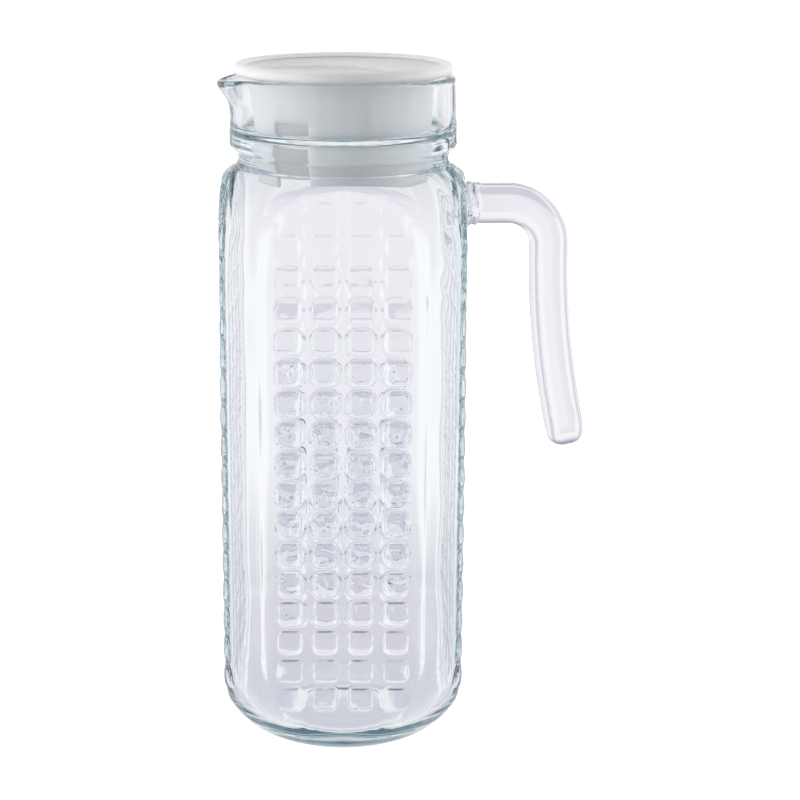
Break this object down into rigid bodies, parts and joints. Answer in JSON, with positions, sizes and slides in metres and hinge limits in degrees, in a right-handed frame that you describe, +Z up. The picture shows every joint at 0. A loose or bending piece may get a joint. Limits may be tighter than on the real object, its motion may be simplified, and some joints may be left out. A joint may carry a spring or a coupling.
{
  "type": "glass pitcher with lid",
  "caption": "Pressed-glass fridge jug with studded flat panels, pouring lip, fused open-ended glass handle and lift-off white stopper lid with a pouring window.",
  "frame": {"origin": "on the body's axis, in the plane that the foot stands on", "axes": "+Z up along the body's axis, +X towards the handle, -X towards the pouring lip, -Y out of the front stud panel"},
  "size_m": [0.1399, 0.0926, 0.26],
  "materials": {
    "pressed_glass": "clear, faintly blue-green at its edges, fire polished",
    "handle_glass": "clear, solid, fire polished",
    "lid_plastic": "white moulded polyethylene, satin"
  },
  "bodies": {
    "jug": {"jug_body": "pressed_glass", "handle": "handle_glass"},
    "lid": {"lid": "lid_plastic"}
  },
  "joints": [
    {"name": "lid_lift", "type": "slide", "parent": "jug", "child": "lid", "axis": [0, 0, 1], "range_m": [0, 0.06]}
  ]
}
